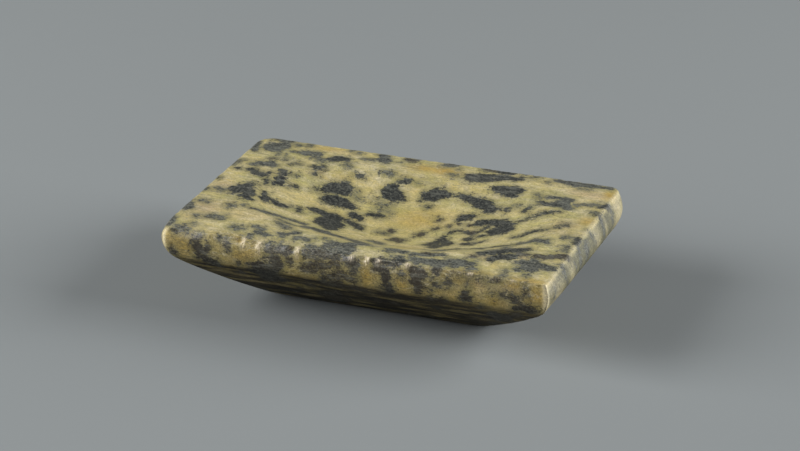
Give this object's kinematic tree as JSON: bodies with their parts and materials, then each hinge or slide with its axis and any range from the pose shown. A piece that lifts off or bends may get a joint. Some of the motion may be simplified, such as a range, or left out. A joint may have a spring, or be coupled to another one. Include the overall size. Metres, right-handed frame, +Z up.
{
  "type": "stone cosmetic palette",
  "caption": "Rectangular stone palette with an oval dish in its top, an upright band round it and sides sloping in to a small flat base.",
  "frame": {"origin": "middle of the flat base that the palette rests on", "axes": "+X along the palette's length, to the right of someone who faces its worn front edge, +Y to its back, away from that edge, +Z up out of the dish"},
  "size_m": [0.0832, 0.0513, 0.019],
  "materials": {
    "mottled_stone": "worn satin polish, cream and tan with charcoal mottling"
  },
  "bodies": {
    "root": {"palette_slab": "mottled_stone"}
  },
  "joints": []
}
